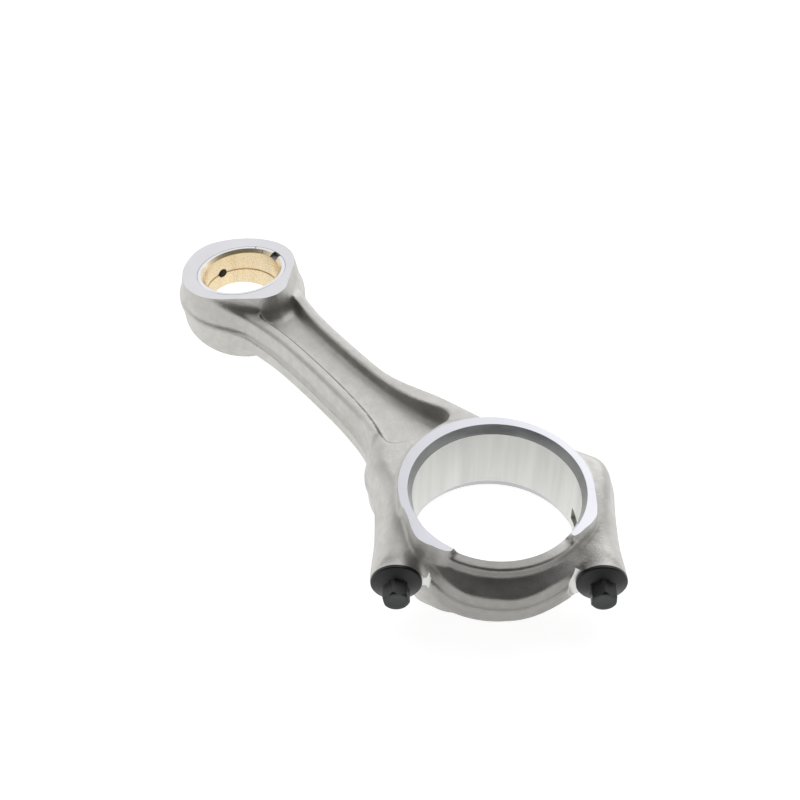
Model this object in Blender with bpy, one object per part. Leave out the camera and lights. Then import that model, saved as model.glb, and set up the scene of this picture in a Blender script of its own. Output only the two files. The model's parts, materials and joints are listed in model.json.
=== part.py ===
"""Connecting rod of a medium-duty diesel engine, with an angled parting line at the big end.

The rod lies on its side, so both bore axes are vertical.  It is drawn about the centre of the
big-end bore, at mid-width, with the small end towards -X.  The cap and its two bolts point along
the pull direction, which is turned from the rod's axis by the split angle.  At the end the whole
assembly is set down with its bounding box centred over the world origin.
"""
import math

import bmesh
import bpy
from mathutils import Matrix, Vector

MM = 0.001
GAP = 0.3 * MM                                  # clearance between neighbouring solids

# Bores and faces
CENTRE_DISTANCE = 196.0 * MM
BIG_BORE_R = 36.5 * MM
BIG_CHAMFER = 2.0 * MM
BIG_CHAMFER_DEPTH = 4.5 * MM
HALF_WIDTH = 20.0 * MM                          # half of the big end's width between thrust faces
RING_R = 44.0 * MM                              # outer radius of the machined thrust face
RING_MID_R = 46.0 * MM
BUSH_OUTER_R = 22.5 * MM
BUSH_BORE_R = 19.0 * MM
BUSH_MOUTH_R = 21.2 * MM
BUSH_MOUTH_DEPTH = 1.6 * MM
OIL_HOLE_R = 2.5 * MM
EYE_HALF_WIDTH = 14.4 * MM                      # at the small-end centre; the faces taper
EYE_TAPER = math.radians(9.3)
EYE_FACE_R = 28.5 * MM
EYE_MID_R = 31.0 * MM
EYE_PAD_REACH = 34.5 * MM                       # balance pad at the tip of the small end

# Cap, parting line and bolts
SPLIT_ANGLE = math.radians(-38.4)               # direction in which the cap is pulled off
BOLT_OFFSET = 43.25 * MM
BOLT_R = 5.5 * MM
BOLT_END = -22.0 * MM                           # thread end, inside the rod
HOLE_END = -26.0 * MM
SEAT = 34.0 * MM                                # bolt seat height above the parting line
SPOT_R = 14.5 * MM
FLANGE_R = 10.4 * MM
FLANGE_RIM = 1.6 * MM
HEX_R = 6.0 * MM                                # across corners / 2
HEX_START = 3.4 * MM
HEAD_HEIGHT = 11.4 * MM
BOSS_R = 11.0 * MM
CROWN_R = 49.5 * MM                             # stiffening rib around the cap
CROWN_HALF = 8.0 * MM
LEDGE_R = 42.0 * MM
LEDGE_HALF = 16.0 * MM

# Shank recess
RECESS_DEPTH = 6.5 * MM

SEGMENTS = 64

PULL = Vector((math.cos(SPLIT_ANGLE), math.sin(SPLIT_ANGLE), 0))
SIDE = Vector((math.sin(SPLIT_ANGLE), -math.cos(SPLIT_ANGLE), 0))   # towards the -Y bolt
UP = Vector((0, 0, 1))


# ---------------------------------------------------------------- small modelling helpers

def material(name, colour, roughness, metallic):
    """Principled material of one base colour."""
    mat = bpy.data.materials.new(name)
    mat.use_nodes = True
    shader = mat.node_tree.nodes["Principled BSDF"]
    shader.inputs["Base Color"].default_value = (*colour, 1)
    shader.inputs["Roughness"].default_value = roughness
    shader.inputs["Metallic"].default_value = metallic
    return mat


def add_object(name, bm):
    """Link a bmesh as an object with outward faces."""
    bmesh.ops.recalc_face_normals(bm, faces=bm.faces)
    mesh = bpy.data.meshes.new(name)
    bm.to_mesh(mesh)
    bm.free()
    obj = bpy.data.objects.new(name, mesh)
    bpy.context.collection.objects.link(obj)
    return obj


def loft(name, rings):
    """Closed solid through a stack of equal-length rings of points, with flat ends."""
    bm = bmesh.new()
    loops = [[bm.verts.new(point) for point in ring] for ring in rings]
    count = len(loops[0])
    for lower, upper in zip(loops, loops[1:]):
        for i in range(count):
            j = (i + 1) % count
            bm.faces.new((lower[i], lower[j], upper[j], upper[i]))
    bm.faces.new(list(reversed(loops[0])))
    bm.faces.new(loops[-1])
    return add_object(name, bm)


def turned(name, profile, origin, axis, segments=SEGMENTS):
    """Solid of revolution; profile is a list of (distance along axis, radius)."""
    across = axis.orthogonal().normalized()
    other = axis.cross(across)
    rings = []
    for along, radius in profile:
        angles = [math.tau * i / segments for i in range(segments)]
        rings.append([origin + axis * along + (across * math.cos(a) + other * math.sin(a)) * radius
                      for a in angles])
    return loft(name, rings)


def block(name, corner_lo, corner_hi, frame=None):
    """Box between two corners, in an optional local frame."""
    bm = bmesh.new()
    bmesh.ops.create_cube(bm, size=1)
    size = Vector(corner_hi) - Vector(corner_lo)
    middle = (Vector(corner_hi) + Vector(corner_lo)) / 2
    bmesh.ops.scale(bm, vec=size, verts=bm.verts)
    bmesh.ops.translate(bm, vec=middle, verts=bm.verts)
    if frame:
        bmesh.ops.transform(bm, matrix=frame, verts=bm.verts)
    return add_object(name, bm)


def combine(target, tool, operation):
    """Apply an exact Boolean to the target and remove the tool."""
    modifier = target.modifiers.new(operation, 'BOOLEAN')
    modifier.operation = operation
    modifier.solver = 'EXACT'
    modifier.object = tool
    bpy.context.view_layer.update()
    evaluated = target.evaluated_get(bpy.context.evaluated_depsgraph_get())
    mesh = bpy.data.meshes.new_from_object(evaluated)
    target.modifiers.clear()
    target.data = mesh
    bpy.data.objects.remove(tool)


def join(target, *tools):
    for tool in tools:
        combine(target, tool, 'UNION')


def cut(target, *tools):
    for tool in tools:
        combine(target, tool, 'DIFFERENCE')


def finish(obj, mat):
    """Give the object its material and smooth shading broken at real edges."""
    obj.data.materials.clear()
    obj.data.materials.append(mat)
    obj.data.shade_smooth()
    obj.data.set_sharp_from_angle(angle=math.radians(32))
    return obj


def split_point(along, side, height=0.0):
    """Point given along the pull direction and across it, in mm."""
    return PULL * along * MM + SIDE * side * MM + UP * height * MM


def split_frame():
    """Frame with X along the pull direction and Y towards the -Y bolt."""
    columns = Matrix((PULL, SIDE, PULL.cross(SIDE))).transposed()
    return columns.to_4x4()


# ---------------------------------------------------------------- forged blanks

def ring_blank(name):
    """Drafted disc of the big end, as wide as the machined thrust faces."""
    profile = [(-HALF_WIDTH, RING_R), (0, RING_MID_R), (HALF_WIDTH, RING_R)]
    return turned(name, profile, Vector(), UP, 96)


def drafted_plate(name, outline_mid, outline_top, half_height):
    """Plate that is widest at mid-width; both outlines are lists of points in mm."""
    def ring(outline, height):
        return [split_point(u, v, height) for u, v in outline]
    knee = half_height * 0.45
    knee_outline = [(um * 0.75 + ut * 0.25, vm * 0.75 + vt * 0.25)
                    for (um, vm), (ut, vt) in zip(outline_mid, outline_top)]
    rings = [ring(outline_top, -half_height), ring(knee_outline, -knee), ring(outline_mid, 0),
             ring(knee_outline, knee), ring(outline_top, half_height)]
    return loft(name, rings)


def bolt_boss(name, side):
    """Round boss around a bolt, up to its seat."""
    centre = SIDE * side * BOLT_OFFSET
    profile = [(-20 * MM, BOSS_R - 1.0 * MM), (14 * MM, BOSS_R - 1.0 * MM), (26 * MM, BOSS_R),
               (SEAT + 1 * MM, BOSS_R)]
    return turned(name, profile, centre, PULL, 40)


def near_flank(name):
    """Side of the big end towards the shank's -Y flange, running along the bolt."""
    mid = [(30, 26), (30, 50.5), (24, 52.6), (12, 52.2), (0, 52.2), (-8, 53.3), (-16, 55.8),
           (-24, 57.4), (-32, 57.6), (-39, 54), (-40, 30), (-20, 24)]
    top = [(24, 26), (25, 44), (20, 46.5), (12, 48), (0, 48.2), (-8, 48.6), (-16, 49.4),
           (-24, 50), (-31, 50), (-36, 48), (-36, 30), (-20, 24)]
    return drafted_plate(name, mid, top, 17.5)


def far_flank(name):
    """Side of the big end towards +Y, with the shoulder behind the bolt."""
    mid = [(30, -26), (30, -52.4), (24, -52.8), (18, -52.5), (12, -52.4), (3, -52.9), (-8, -53.1),
           (-14, -53.0), (-20, -52.2), (-24, -50.8), (-28, -48.0), (-33, -42.5), (-37, -37),
           (-34, -30), (-10, -24)]
    top = [(24, -26), (24, -45), (20, -47.2), (15, -48.2), (10, -48.6), (3, -48.8), (-4, -48.6),
           (-8, -48.0), (-11.5, -46.6), (-15, -44.4), (-19, -41.2), (-24, -37.2), (-29, -33),
           (-28, -28), (-10, -24)]
    return drafted_plate(name, mid, top, 18.0)


def shank_blank(name):
    """I-section shank before its recesses are sunk; flares into the big end."""
    stations = [  # x, half width towards -Y, half width towards +Y, half height, in mm
        (-178, 20.5, 20.5, 10.6),
        (-168, 17.4, 17.4, 10.2),
        (-156, 14.8, 14.8, 10.0),
        (-142, 13.3, 13.3, 10.0),
        (-120, 13.0, 13.0, 10.0),
        (-98, 13.4, 13.4, 10.0),
        (-86, 14.0, 15.9, 10.5),
        (-76, 14.6, 19.3, 11.4),
        (-66, 16.8, 23.2, 12.6),
        (-57, 20.2, 26.2, 14.2),
        (-48, 24.4, 28.6, 16.0),
        (-40, 27.0, 31.0, 17.4),
        (-24, 32.0, 35.0, 18.6),
    ]
    draft = math.tan(math.radians(7))
    edge = 1.6
    rings = []
    for x, near, far, high in stations:
        spread = high * draft
        section = [
            (far + spread, 0), (far, high - edge), (far - edge, high),
            (-near + edge, high), (-near, high - edge), (-near - spread, 0),
            (-near, -high + edge), (-near + edge, -high),
            (far - edge, -high), (far, -high + edge)]
        rings.append([Vector((x, y, z)) * MM for y, z in section])
    return loft(name, rings)


def eye_blank(name):
    """Small-end eye with its balance pad, before the tapered faces are cut."""
    high = HALF_WIDTH
    eye_centre = Vector((-CENTRE_DISTANCE, 0, 0))
    profile = [(-high, EYE_FACE_R - 0.6 * MM), (0, EYE_MID_R), (high, EYE_FACE_R - 0.6 * MM)]
    eye = turned(name, profile, eye_centre, UP, 80)
    pad_rings = []
    for height, inset in ((-12, 1.2), (0, 0), (12, 1.2)):
        reach = EYE_PAD_REACH / MM - inset
        half = 15 - inset
        outline = [(-10, -half - 8), (-25, -half - 3), (-reach + 3, -half + 5), (-reach, -5),
                   (-reach, 5), (-reach + 3, half - 5), (-25, half + 3), (-10, half + 8)]
        pad_rings.append([eye_centre + Vector((x, y, height)) * MM for x, y in outline])
    join(eye, loft("eye_pad", pad_rings))
    return eye


def crown_rib(name):
    """Stiffening rib around the cap, between the bolt seats."""
    def ring(radius, height):
        sweep = [math.radians(-72 + 144 * i / 28) for i in range(29)]
        outer = [(min(radius * math.cos(a), radius), radius * math.sin(a)) for a in sweep]
        return [split_point(u, v, height) for u, v in outer]
    top_r = CROWN_R / MM - 1.0
    mid_r = CROWN_R / MM
    half = CROWN_HALF / MM
    rings = [ring(top_r - 4, -half - 1.6), ring(top_r, -half), ring(mid_r, 0), ring(top_r, half),
             ring(top_r - 4, half + 1.6)]
    return loft(name, rings)


# ---------------------------------------------------------------- cutters

def big_bore(name):
    """Big-end bore with a long chamfer at both thrust faces."""
    over = 2 * MM
    slope = BIG_CHAMFER / BIG_CHAMFER_DEPTH
    mouth = BIG_BORE_R + BIG_CHAMFER + over * slope
    profile = [(-HALF_WIDTH - over, mouth), (-HALF_WIDTH + BIG_CHAMFER_DEPTH, BIG_BORE_R),
               (HALF_WIDTH - BIG_CHAMFER_DEPTH, BIG_BORE_R), (HALF_WIDTH + over, mouth)]
    return turned(name, profile, Vector(), UP, 96)


def taper_cutters():
    """Two wedges that leave the small end's inclined faces."""
    tools = []
    for sign in (1, -1):
        tilt = Matrix.Rotation(sign * -EYE_TAPER, 4, 'Y')
        place = Matrix.Translation((-CENTRE_DISTANCE, 0, sign * EYE_HALF_WIDTH))
        lo, hi = sorted((0, sign * 30 * MM))
        tools.append(block("taper_cutter", (-60 * MM, -45 * MM, lo), (34 * MM, 45 * MM, hi),
                           place @ tilt))
    return tools


def recess_cutter(name, sign):
    """Tapered recess sunk in one side of the shank; its big-end end is wide and round-cornered."""
    outline = [(-164, -8.2), (-164, 8.2), (-159, 10.0), (-150, 8.4), (-136, 7.4), (-104, 7.6),
               (-90, 8.2), (-77, 10.4), (-67, 13.4), (-58, 16.8), (-53.5, 16.6), (-50.4, 13.6),
               (-50.0, 0.0), (-50.4, -13.6), (-53.5, -16.6), (-58, -16.8), (-67, -13.4),
               (-77, -10.4), (-90, -8.2), (-104, -7.6), (-136, -7.4), (-150, -8.4), (-159, -10.0)]
    middle = -107.0
    floor = 10.0 - RECESS_DEPTH / MM
    rings = []
    for height, side_shrink, end_shrink in ((floor, 0.62, 0.94), (floor + 1.6, 0.84, 0.97),
                                            (10.0, 1.0, 1.0), (26.0, 1.5, 1.03)):
        rings.append([Vector((middle + (x - middle) * end_shrink, y * side_shrink,
                              sign * height)) * MM for x, y in outline])
    return loft(name, rings)


def tang_slot(name):
    """Locating notch for a bearing shell's tang, in the bore wall beside the parting line."""
    lo = Vector((-5.2, -38.0, 4.0)) * MM
    hi = Vector((8.0, -33.0, 11.0)) * MM
    return block(name, lo, hi, Matrix.Rotation(math.radians(-8), 4, 'Z') @ split_frame())


def oil_hole(name, eye_centre):
    """Drilling from the tip of the small end into its bore."""
    return turned(name, [(15 * MM, OIL_HOLE_R), (40 * MM, OIL_HOLE_R)], eye_centre,
                  Vector((-1, 0, 0)), 24)


# ---------------------------------------------------------------- the five pieces

def make_rod_body(steel):
    body = ring_blank("rod_body")
    join(body, near_flank("near_flank"), far_flank("far_flank"), bolt_boss("near_boss", 1),
         bolt_boss("far_boss", -1), shank_blank("shank_blank"), eye_blank("eye_blank"))
    cut(body, block("cap_side", (-GAP / 2, -80 * MM, -40 * MM), (80 * MM, 80 * MM, 40 * MM),
                    split_frame()))
    cut(body, *taper_cutters())
    cut(body, recess_cutter("upper_recess", 1), recess_cutter("lower_recess", -1))
    cut(body, big_bore("big_bore"))
    eye_centre = Vector((-CENTRE_DISTANCE, 0, 0))
    cut(body, turned("eye_bore", [(-30 * MM, BUSH_OUTER_R), (30 * MM, BUSH_OUTER_R)],
                     eye_centre, UP))
    for side in (1, -1):
        start = SIDE * side * BOLT_OFFSET
        drill = [(HOLE_END - 2.5 * MM, 0.4 * MM), (HOLE_END, BOLT_R + GAP), (5 * MM, BOLT_R + GAP)]
        cut(body, turned("thread_hole", drill, start, PULL, 24))
    cut(body, tang_slot("rod_tang_slot"))
    cut(body, oil_hole("oil_hole", eye_centre))
    return finish(body, steel)


def make_cap(steel):
    cap = ring_blank("bearing_cap")
    for sign in (1, -1):
        lo, hi = sorted((sign * LEDGE_HALF, sign * 30 * MM))
        frame = Matrix.Rotation(math.radians(-8), 4, 'Z') @ split_frame()
        cut(cap, block("ledge_cutter", (25 * MM, -29 * MM, lo), (60 * MM, 29 * MM, hi), frame))
        groove = turned("groove_cutter", [(sign * 9.6 * MM, 60 * MM), (sign * 40 * MM, 60 * MM)],
                        Vector(), UP, 96)
        cut(groove, turned("groove_core", [(-50 * MM, LEDGE_R), (50 * MM, LEDGE_R)],
                           Vector(), UP, 96))
        cut(groove, block("groove_limit", (-80 * MM, -80 * MM, -60 * MM),
                          (29 * MM, 80 * MM, 60 * MM), split_frame()))
        cut(cap, groove)
    join(cap, crown_rib("crown_rib"), near_flank("near_flank"), far_flank("far_flank"),
         bolt_boss("near_boss", 1), bolt_boss("far_boss", -1))
    cut(cap, block("rod_side", (-80 * MM, -80 * MM, -40 * MM), (GAP / 2, 80 * MM, 40 * MM),
                   split_frame()))
    cut(cap, big_bore("big_bore"))
    for side in (1, -1):
        start = SIDE * side * BOLT_OFFSET
        cut(cap, turned("spot_face", [(SEAT, SPOT_R), (SEAT + 20 * MM, SPOT_R)], start, PULL, 48))
        cut(cap, turned("bolt_hole", [(-5 * MM, BOLT_R + GAP), (SEAT + 5 * MM, BOLT_R + GAP)],
                        start, PULL, 24))
    return finish(cap, steel)


def make_bolt(name, side, turn, black):
    """Flanged hexagon-head bolt; its origin lies on its axis at the parting line."""
    start = SIDE * side * BOLT_OFFSET
    head = SEAT + GAP
    shank = [(BOLT_END, BOLT_R - 1.2 * MM), (BOLT_END + 1.2 * MM, BOLT_R), (-4 * MM, BOLT_R),
             (-2 * MM, BOLT_R - 0.7 * MM), (head - 3 * MM, BOLT_R - 0.7 * MM),
             (head - 2 * MM, BOLT_R), (head, BOLT_R), (head, FLANGE_R - 0.4 * MM),
             (head + 0.4 * MM, FLANGE_R), (head + FLANGE_RIM, FLANGE_R),
             (head + HEX_START, HEX_R + 0.6 * MM), (head + HEX_START + 0.2 * MM, HEX_R * 0.8)]
    bolt = turned(name, shank, Vector(), PULL, 48)
    across = SIDE.cross(PULL)
    rings = []
    top = head + HEAD_HEIGHT - GAP
    for along, radius in ((head + HEX_START - 1 * MM, HEX_R), (top - 0.7 * MM, HEX_R),
                          (top, HEX_R - 0.8 * MM)):
        ring = []
        for i in range(6):
            angle = turn + math.tau * i / 6
            ring.append(PULL * along + (across * math.cos(angle) + SIDE * math.sin(angle)) * radius)
        rings.append(ring)
    join(bolt, loft("hex_head", rings))
    bolt.location = start
    return finish(bolt, black)


def make_bush(bronze):
    """Small-end bush with tapered ends, chamfered mouths, an oil groove and an oil hole."""
    outer = BUSH_OUTER_R - GAP
    bush = turned("small_end_bush", [(-24 * MM, outer), (24 * MM, outer)], Vector(), UP)
    groove = 0.5 * MM
    bore = [(-26 * MM, BUSH_BORE_R), (-1.6 * MM, BUSH_BORE_R), (-0.8 * MM, BUSH_BORE_R + groove),
            (0.8 * MM, BUSH_BORE_R + groove), (1.6 * MM, BUSH_BORE_R), (26 * MM, BUSH_BORE_R)]
    cut(bush, turned("bush_bore", bore, Vector(), UP))
    cut(bush, oil_hole("oil_hole", Vector()))
    bush.location = (-CENTRE_DISTANCE, 0, 0)
    bpy.context.view_layer.update()
    cut(bush, *taper_cutters())
    slope = (BUSH_MOUTH_R - BUSH_BORE_R) / BUSH_MOUTH_DEPTH
    mouth = [(-5 * MM, BUSH_MOUTH_R - 5 * MM * slope), (3 * MM, BUSH_MOUTH_R + 3 * MM * slope)]
    for sign in (1, -1):
        face_centre = Vector((-CENTRE_DISTANCE, 0, sign * EYE_HALF_WIDTH))
        normal = Vector((-math.sin(EYE_TAPER), 0, sign * math.cos(EYE_TAPER)))
        cut(bush, turned("mouth", mouth, face_centre, normal))
    notch_lo = Vector((-CENTRE_DISTANCE / MM - 2.0, 17.5, 11.2)) * MM
    notch_hi = Vector((-CENTRE_DISTANCE / MM + 3.5, 24.0, 20.0)) * MM
    cut(bush, block("end_notch", notch_lo, notch_hi))
    return finish(bush, bronze)


def set_down(parts):
    """Parent the parts to one empty and centre their bounding box over the world origin."""
    assembly = bpy.data.objects.new("assembly", None)
    bpy.context.collection.objects.link(assembly)
    bpy.context.view_layer.update()
    corners = [part.matrix_world @ vert.co for part in parts for vert in part.data.vertices]
    lo = [min(corner[axis] for corner in corners) for axis in range(3)]
    hi = [max(corner[axis] for corner in corners) for axis in range(3)]
    for part in parts:
        part.parent = assembly
    assembly.location = (-(lo[0] + hi[0]) / 2, -(lo[1] + hi[1]) / 2, -lo[2])
    bpy.context.view_layer.update()
    print("big-end centre at", [round(value / MM, 3) for value in assembly.location], "mm")
    print("size", [round((hi[axis] - lo[axis]) / MM, 2) for axis in range(3)], "mm")


def main():
    for obj in list(bpy.data.objects):
        bpy.data.objects.remove(obj)
    steel = material("forged_steel", (0.50, 0.49, 0.47), 0.5, 0.9)
    cap_steel = material("cap_steel", (0.47, 0.46, 0.44), 0.5, 0.9)
    bronze = material("bush_bronze", (0.85, 0.55, 0.30), 0.3, 0.9)
    black = material("black_oxide", (0.03, 0.03, 0.033), 0.45, 0.6)
    parts = [
        make_rod_body(steel),
        make_cap(cap_steel),
        make_bolt("cap_bolt_near", 1, math.radians(15), black),
        make_bolt("cap_bolt_far", -1, math.radians(0), black),
        make_bush(bronze),
    ]
    set_down(parts)


main()
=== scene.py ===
"""Connecting rod with an obliquely split big end, two flanged cap bolts and a bronze-lined bush.

The forging is described by distance fields in the rod's own frame, in millimetres: the origin is
the centre of the big-end bore at mid-width, and the small end lies towards -X.  The field is
meshed, and the machined faces are then cut into it.
"""

import json
import math

import bpy
import numpy as np
from mathutils import Matrix, Vector


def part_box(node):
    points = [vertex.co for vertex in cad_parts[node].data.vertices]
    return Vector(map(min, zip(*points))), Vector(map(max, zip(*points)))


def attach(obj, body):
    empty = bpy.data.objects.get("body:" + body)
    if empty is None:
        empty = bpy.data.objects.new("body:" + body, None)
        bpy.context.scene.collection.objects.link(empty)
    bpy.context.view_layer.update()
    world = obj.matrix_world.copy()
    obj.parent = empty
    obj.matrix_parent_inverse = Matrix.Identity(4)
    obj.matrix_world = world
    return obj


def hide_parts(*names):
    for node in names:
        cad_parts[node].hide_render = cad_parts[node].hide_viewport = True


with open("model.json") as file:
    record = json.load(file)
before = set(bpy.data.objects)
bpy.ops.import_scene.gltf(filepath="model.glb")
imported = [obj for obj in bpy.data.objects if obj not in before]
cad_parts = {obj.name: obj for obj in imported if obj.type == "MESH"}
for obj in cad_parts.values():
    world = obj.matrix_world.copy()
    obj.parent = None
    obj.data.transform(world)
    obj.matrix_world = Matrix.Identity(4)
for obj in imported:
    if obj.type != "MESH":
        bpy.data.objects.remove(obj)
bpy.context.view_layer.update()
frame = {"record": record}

MM = 0.001
joints = {joint["name"]: joint for joint in frame["record"]["behaviour"]["joints"]}
near_axis = Vector(joints["bolt_near_turn"]["pos_m"])
far_axis = Vector(joints["bolt_far_turn"]["pos_m"])
CENTRE = (near_axis + far_axis) / 2                    # big-end bore centre, metres
PULL = Vector(joints["cap_lift"]["axis"]).normalized()
SIDE = (near_axis - far_axis).normalized()             # towards the near bolt
BOLT_OFFSET = (near_axis - far_axis).length / 2 / MM
bush_lo, bush_hi = (Vector(corner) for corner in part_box("small_end_bush"))
EYE = (bush_lo + bush_hi) / 2
EYE_X = (EYE.x - CENTRE.x) / MM                        # -196 mm

# Machined sizes, in millimetres
BIG_BORE_R = 36.5
BIG_MOUTH_R = 38.5
BIG_MOUTH_DEPTH = 4.5
BIG_MOUTH_SLOPE = (BIG_MOUTH_R - BIG_BORE_R) / BIG_MOUTH_DEPTH
HALF_WIDTH = 20.0
SEAT = 34.0                        # bolt seats above the parting line
SPOT_R = 14.5
BOLT_R = 5.5
BOLT_TIP = -22                     # below the parting line
THREAD_PITCH = 1.25
HEAD_TOP = 45.35
BUSH_R = 22.5
BUSH_BORE_R = 19.0
BUSH_MOUTH_R = 20.7
OIL_HOLE_R = 2.5
EYE_TOP = 13.5                     # face heights above and below mid-width of the big end
EYE_BOTTOM = 14.5
EYE_SLOPE = math.tan(math.radians(9.3))

# Forging sizes, in millimetres
MESH_STEP = 0.75
MID_DROP = 0.9                     # its own mid-plane lies this far below the big end's
RAW_HEIGHT = 22.2                  # thrust pad and eye before they are faced
LEDGE = 16.0                       # top of the crown's ledge above mid-width
LEDGE_R = 42.3
PAD_R = 44                         # thrust pad on the shank's side of the bore
PAD_GROWTH = 1.7                   # and how much it widens
PAD_WIDEST = math.radians(141)     # in this direction
LOWER_PAD_R = 42.4                 # least radius of the lower thrust pad
LOWER_EYE_R = 30.2                 # least radius of the eye's lower face
LOWER_SHANK_GROWTH = 0.7
FLASH_HEIGHT = 0.6                 # trimmed flash line
FLASH_HALF_WIDTH = 1.9


# ------------------------------------------------------------------ fields

def smooth_min(a, b, blend):
    t = np.clip(0.5 + 0.5 * (b - a) / blend, 0, 1)
    return b + (a - b) * t - blend * t * (1 - t)


def smooth_max(a, b, blend):
    return -smooth_min(-a, -b, blend)


def curve_through(points, closed=True, steps=8):
    """Catmull-Rom curve through points."""
    pts = np.array(points, float)
    if closed:
        p0, p1, p2, p3 = np.roll(pts, 1, 0), pts, np.roll(pts, -1, 0), np.roll(pts, -2, 0)
    else:
        pts = np.vstack([2 * pts[0] - pts[1], pts, 2 * pts[-1] - pts[-2]])
        p0, p1, p2, p3 = pts[:-3], pts[1:-2], pts[2:-1], pts[3:]
    out = []
    for i in range(steps):
        t = i / steps
        out.append(0.5 * (2 * p1 + (p2 - p0) * t + (2 * p0 - 5 * p1 + 4 * p2 - p3) * t * t
                          + (3 * p1 - p0 - 3 * p2 + p3) * t ** 3))
    curve = np.stack(out, 1).reshape(-1, 2)
    return curve if closed else np.vstack([curve, pts[-2]])


def signed_distance(x, y, outline):
    """Distance to a closed outline, negative inside."""
    best = np.full(x.shape, 1e9)
    inside = np.zeros(x.shape, bool)
    for (ax, ay), (bx, by) in zip(outline, np.roll(outline, -1, 0)):
        ex, ey = bx - ax, by - ay
        length = ex * ex + ey * ey
        if length < 1e-9:
            continue
        t = np.clip(((x - ax) * ex + (y - ay) * ey) / length, 0, 1)
        best = np.minimum(best, (x - ax - t * ex) ** 2 + (y - ay - t * ey) ** 2)
        if ay != by:
            crosses = ((ay > y) != (by > y)) & (x < (y - ay) * ex / ey + ax)
            inside ^= crosses
    return np.where(inside, -1, 1) * np.sqrt(best)


def along_table(value, table, column):
    rows = np.array(table, float)
    curve = curve_through(rows[:, [0, column]], closed=False, steps=10)
    return np.interp(value, curve[:, 0], curve[:, 1])


def from_split(points):
    """Points given along the pull direction and across it, in the rod's frame."""
    return np.array([(u * PULL.x + v * SIDE.x, u * PULL.y + v * SIDE.y) for u, v in points])


# Radius of the bolt bosses against the distance along the pull direction
BOSS = [(-40, 7.5), (-24, 8.2), (-10, 8.6), (0, 8.6), (14, 8.8), (22, 9.4), (28, 10.0),
        (34, 10.3), (40, 10.4)]

# Shank: x, half width towards the near side, towards the far side, half height
SHANK = [
    (-190, 24.0, 24.0, 12.3), (-178, 20.7, 20.5, 11.5), (-168, 17.4, 17.2, 11.1),
    (-156, 15.0, 14.8, 10.9), (-142, 13.6, 13.4, 10.9), (-120, 13.2, 13.0, 10.9),
    (-98, 13.7, 13.4, 10.9), (-86, 14.4, 15.6, 11.3), (-76, 15.4, 18.6, 12.1),
    (-66, 17.6, 21.6, 13.2), (-57, 20.9, 23.4, 14.3), (-48, 25.0, 24.9, 15.5),
    (-40, 28.0, 26.4, 16.4), (-24, 32.6, 30.0, 17.8), (0, 36.0, 33.0, 18.8)]

# Recess in the shank: x, half width
RECESS = [(-176, 12.0), (-168, 11.4), (-160, 10.0), (-152, 8.8), (-142, 8.0), (-128, 7.7),
          (-110, 7.8), (-98, 8.3), (-86, 9.3), (-77, 10.7), (-69, 12.7), (-62, 15.1),
          (-56, 17.2), (-52.5, 17.3), (-49.8, 14.5), (-47.6, 9.0), (-46.8, 3.0)]

# Big end at mid-width, along and across the pull direction; then, against the distance along,
# the draft of its far side and its height
NEAR_SIDE = [(-46, 42.5), (-40, 50), (-34, 55.0), (-28, 56.9), (-22, 56.8), (-16.7, 55.5),
             (-10.8, 52.9), (-5, 50.8), (1, 49.7), (12, 49.4), (18, 49.8), (24, 50.6), (33, 51.6)]
FAR_SIDE = [(33, -51.4), (25, -50.8), (19, -50.0), (12, -49.9), (3, -50.6), (-8, -51.8),
            (-14, -52.7), (-20.5, -52.5), (-25.5, -50.8), (-29.5, -47), (-34, -41.4), (-39, -35.4),
            (-44, -28)]
FAR_DRAFT = [(-60, 0.52), (-44, 0.52), (-30, 0.50), (-24, 0.40), (-20, 0.26), (-16, 0.18),
             (-11, 0.12), (0, 0.08), (60, 0.08)]
BODY_TOP = [(-60, 18.9), (-24, 18.9), (-14, 18.4), (-4, 17.2), (8, 15.2), (20, 12.6), (33, 10.0)]
CROWN_INSIDE = [(33, -33), (29, -31), (38, -12), (39.8, 0), (38, 12), (33, 24), (33, 31)]

# Machined thrust pad, outer edge, counting round from the near tongue to the far one
PAD_NEAR = [(33.0, 16.8), (36.2, 19.6), (36.6, 22.6), (35.6, 25.8), (33.6, 29.4), (31.6, 33.2),
            (28.6, 36.4), (23.3, 38.8), (17.8, 40.1), (12.3, 41.8)]
PAD_FAR = [(1, -44.0), (9.3, -43.9), (14.9, -43.3), (18, -41.8), (21, -39.7), (23.4, -37.2),
           (26, -34.8), (27.6, -32.6), (28.3, -30.6), (27.8, -28.8), (26.0, -27.6)]

# Small-end eye: angle from the tip, radius at the face, radius at mid-width
EYE_OUTLINE = [(0, 33.6, 34.4), (10, 33.2, 34.0), (18, 32.2, 33.2), (33, 30.8, 32.4),
               (55, 29.6, 31.9), (80, 29.2, 31.6), (100, 28.6, 31.3), (120, 27.6, 31.0),
               (138, 27.0, 31.0), (155, 28.6, 31.6), (168, 31.2, 33.0), (180, 32.4, 34.0)]

# Stiffening rib round the cap, at mid-width
RIB = [(20, -44), (34.4, -32.8), (38.9, -27.6), (43.8, -20.4), (47.4, -13.6), (49.4, -6.8),
       (49.7, 0), (48.9, 7.3), (47, 14.4), (43.4, 20.3), (39.6, 24.4), (34, 29.5), (20, 44),
       (20, 0)]


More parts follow.
